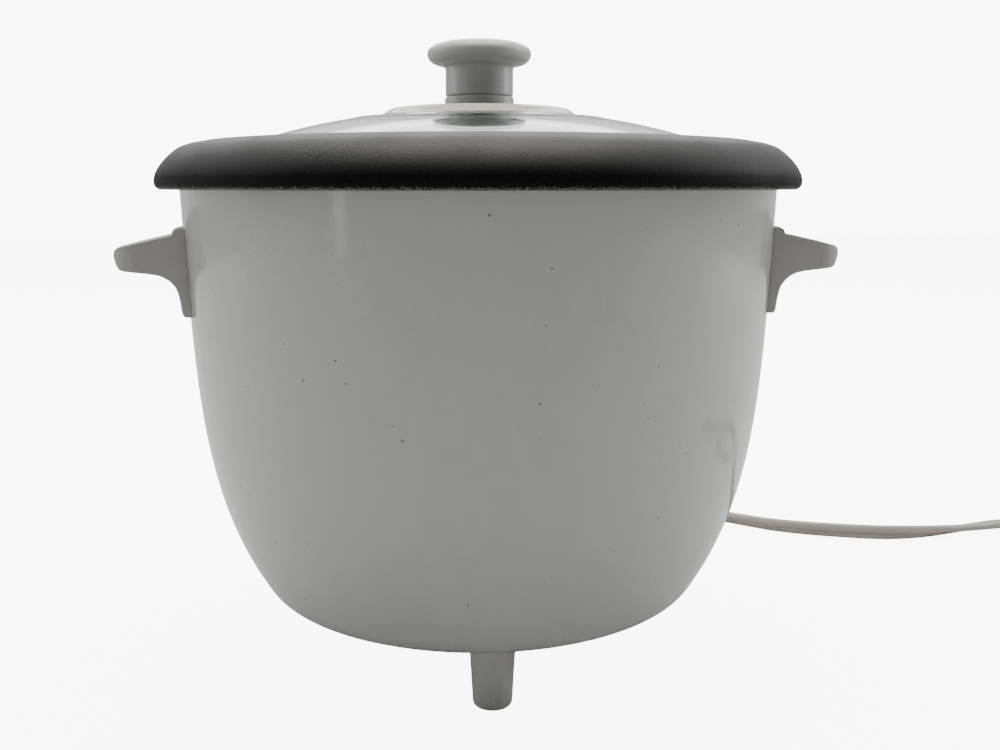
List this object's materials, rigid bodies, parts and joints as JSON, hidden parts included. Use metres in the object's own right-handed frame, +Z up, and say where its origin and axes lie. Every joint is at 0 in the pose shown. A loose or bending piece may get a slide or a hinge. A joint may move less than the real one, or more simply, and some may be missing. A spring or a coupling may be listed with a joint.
{
  "type": "rice cooker",
  "caption": "Drum rice cooker with a painted tapered body, a wide dark pot flange, a domed glass lid with a mushroom knob, side ledge handles, short feet and a flat cord.",
  "frame": {"origin": "on the table, under the middle of the body", "axes": "+Z up; the cook lever is at -Y and the two handles at -X and +X"},
  "size_m": [0.5298, 0.2694, 0.2439],
  "materials": {
    "white_enamel": "gloss baked enamel",
    "zinc_sheet": "dull zinc plate",
    "bright_liner": "satin",
    "steel_screw": "satin",
    "grey_foot": "matte",
    "pale_plastic": "satin gloss",
    "cast_plate": "fine turned",
    "dark_sheath": "heat-darkened",
    "mica_band": "mica sheet",
    "ceramic_white": "glazed ceramic",
    "red_wire": "silicone sleeve",
    "red_lens": "clear red lens",
    "amber_lens": "clear amber lens",
    "lamp_glass": "clear",
    "black_plastic": "satin",
    "dark_magnet": "matte",
    "bright_cap": "satin",
    "speckled_black": "speckled non-stick coating",
    "clear_glass": "clear tempered glass",
    "grey_rubber": "matte",
    "knob_plastic": "satin gloss",
    "cord_plastic": "satin",
    "brass_blade": "bright"
  },
  "bodies": {
    "housing": {"outer_shell": "white_enamel", "inner_liner": "bright_liner", "base_plate": "zinc_sheet", "base_screws": "steel_screw", "foot_rear": "grey_foot", "foot_front_left": "grey_foot", "foot_front_right": "grey_foot", "foot_screws": "steel_screw", "handle_left": "pale_plastic", "handle_right": "pale_plastic", "handle_screws": "steel_screw", "heater_plate": "cast_plate", "heater_element": "dark_sheath", "heater_legs": "zinc_sheet", "heater_screws": "steel_screw", "thermostat_housing": "zinc_sheet", "keep_warm_band": "mica_band", "thermal_fuse": "ceramic_white", "fuse_clip": "zinc_sheet", "terminal_block": "ceramic_white", "lead_wires": "red_wire", "control_panel": "pale_plastic", "panel_screws": "steel_screw", "lens_cook": "red_lens", "lens_warm": "amber_lens", "neon_lamps": "lamp_glass", "pivot_bracket": "zinc_sheet", "pivot_pin": "steel_screw", "switch_body": "black_plastic", "strain_relief": "pale_plastic", "power_cord": "cord_plastic", "cord_coil": "cord_plastic", "cord_tie": "black_plastic", "cord_tail": "cord_plastic", "plug_body": "cord_plastic", "plug_blades": "brass_blade"},
    "pot": {"inner_pot": "speckled_black"},
    "lid": {"lid_glass": "clear_glass", "knob_gasket": "grey_rubber", "knob_collar": "knob_plastic", "lid_knob": "knob_plastic", "knob_plate": "knob_plastic", "knob_screw": "steel_screw"},
    "lever": {"rocker": "zinc_sheet", "lever_key": "black_plastic"},
    "lifter": {"magnet": "dark_magnet", "magnet_rod": "steel_screw", "magnet_spring": "steel_screw"},
    "sensor": {"sensor_cap": "bright_cap", "ferrite": "dark_magnet", "sensor_spring": "steel_screw"},
    "button": {"switch_plunger": "red_wire"}
  },
  "joints": [
    {"name": "pot_lift", "type": "slide", "parent": "housing", "child": "pot", "axis": [0, 0, 1], "range_m": [0, 0.16]},
    {"name": "lid_lift", "type": "slide", "parent": "pot", "child": "lid", "axis": [0, 0, 1], "range_m": [0, 0.12]},
    {"name": "switch_press", "type": "hinge", "parent": "housing", "child": "lever", "pos_m": [0, -0.045, 0.03269], "axis": [1, 0, 0], "range_deg": [0, 6], "stiffness_Nm_per_rad": 0.12, "springref_deg": -20.05},
    {"name": "magnet_rise", "type": "slide", "parent": "housing", "child": "lifter", "axis": [0, 0, 1], "range_m": [0, 0.00472], "deforming": ["magnet_spring"]},
    {"name": "plunger_press", "type": "slide", "parent": "housing", "child": "button", "axis": [0, 0, 1], "range_m": [-0.00263, 0]},
    {"name": "sensor_press", "type": "slide", "parent": "housing", "child": "sensor", "axis": [0, 0, 1], "range_m": [-0.003, 0], "stiffness_N_per_m": 300, "springref_m": 0.002, "deforming": ["sensor_spring", "magnet_spring"]}
  ],
  "couplings": [
    {"joint": "magnet_rise", "follows": "switch_press", "m_per_rad": 0.045},
    {"joint": "plunger_press", "follows": "switch_press", "m_per_rad": -0.025}
  ]
}
